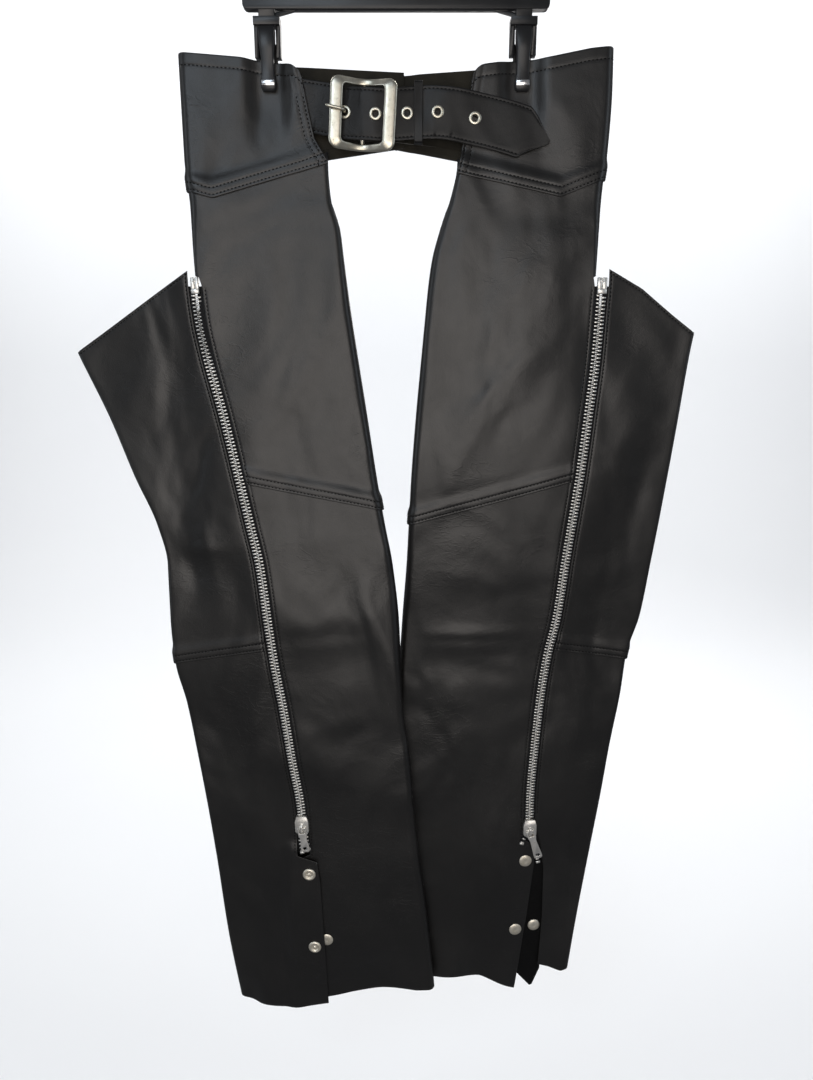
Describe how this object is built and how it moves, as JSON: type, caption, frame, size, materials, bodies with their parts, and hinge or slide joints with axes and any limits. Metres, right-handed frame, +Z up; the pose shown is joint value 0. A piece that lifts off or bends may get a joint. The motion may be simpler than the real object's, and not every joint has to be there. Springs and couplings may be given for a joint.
{
  "type": "leather chaps on clip hanger",
  "caption": "Black leather riding chaps hanging flat from a clip hanger, with a buckled belt, hip yokes, full-length leg zips and snapped ankle vents.",
  "frame": {"origin": "the point inside the top of the hanger's hook, where a rail touches it", "axes": "+X to the right of the picture (the wearer's left), +Y away from the viewer, through the garment from front to back, +Z up"},
  "size_m": [0.5983, 0.0601, 1.1158],
  "materials": {
    "leather": "smooth top grain with a soft sheen",
    "nickel": "nickel plate, slightly warm",
    "zip_metal": "satin nickel",
    "zip_tape": "woven tape",
    "hanger_plastic": "moulded, satin",
    "hanger_steel": "polished wire"
  },
  "bodies": {
    "garment": {"right_yoke": "leather", "left_yoke": "leather", "right_thigh_front": "leather", "left_thigh_front": "leather", "right_shin_front": "leather", "left_shin_front": "leather", "right_thigh_back": "leather", "left_thigh_back": "leather", "right_calf_back": "leather", "left_calf_back": "leather", "left_vent_underlap": "leather", "belt_strap": "leather", "buckle_strap": "leather", "belt_keeper": "leather", "belt_eyelet_1": "nickel", "belt_eyelet_2": "nickel", "belt_eyelet_3": "nickel", "belt_eyelet_4": "nickel", "belt_eyelet_5": "nickel", "buckle_frame": "nickel", "buckle_prong": "nickel", "right_ring_snap_1": "nickel", "right_ring_snap_2": "nickel", "right_cap_snap": "nickel", "left_cap_snap_1": "nickel", "left_cap_snap_2": "nickel", "left_stud_snap": "nickel", "right_zip_chain": "zip_metal", "right_zip_box": "zip_metal", "right_zip_slider": "zip_metal", "right_zip_tail_1": "zip_metal", "right_zip_tail_2": "zip_metal", "left_zip_chain": "zip_metal", "left_zip_box": "zip_metal", "left_zip_slider": "zip_metal", "left_zip_tail_1": "zip_metal", "left_zip_tail_2": "zip_metal", "right_zip_tape": "zip_tape", "left_zip_tape": "zip_tape", "hanger_bar": "hanger_plastic", "hanger_right_clip_back": "hanger_plastic", "hanger_right_clip_front": "hanger_plastic", "hanger_left_clip_back": "hanger_plastic", "hanger_left_clip_front": "hanger_plastic", "hanger_hook": "hanger_steel", "hanger_right_clip_pad": "hanger_steel", "hanger_left_clip_pad": "hanger_steel"},
    "right_pull": {"right_zip_pull": "zip_metal"},
    "left_pull": {"left_zip_pull": "zip_metal"}
  },
  "joints": [
    {"name": "right_pull_hinge", "type": "hinge", "parent": "garment", "child": "right_pull", "pos_m": [-0.10464, -0.02831, -0.87752], "axis": [-0.9895, 0.0395, -0.1391], "range_deg": [0, 160]},
    {"name": "left_pull_hinge", "type": "hinge", "parent": "garment", "child": "left_pull", "pos_m": [0.14841, -0.00047, -0.89954], "axis": [-0.949, -0.0655, -0.3084], "range_deg": [0, 160]}
  ]
}
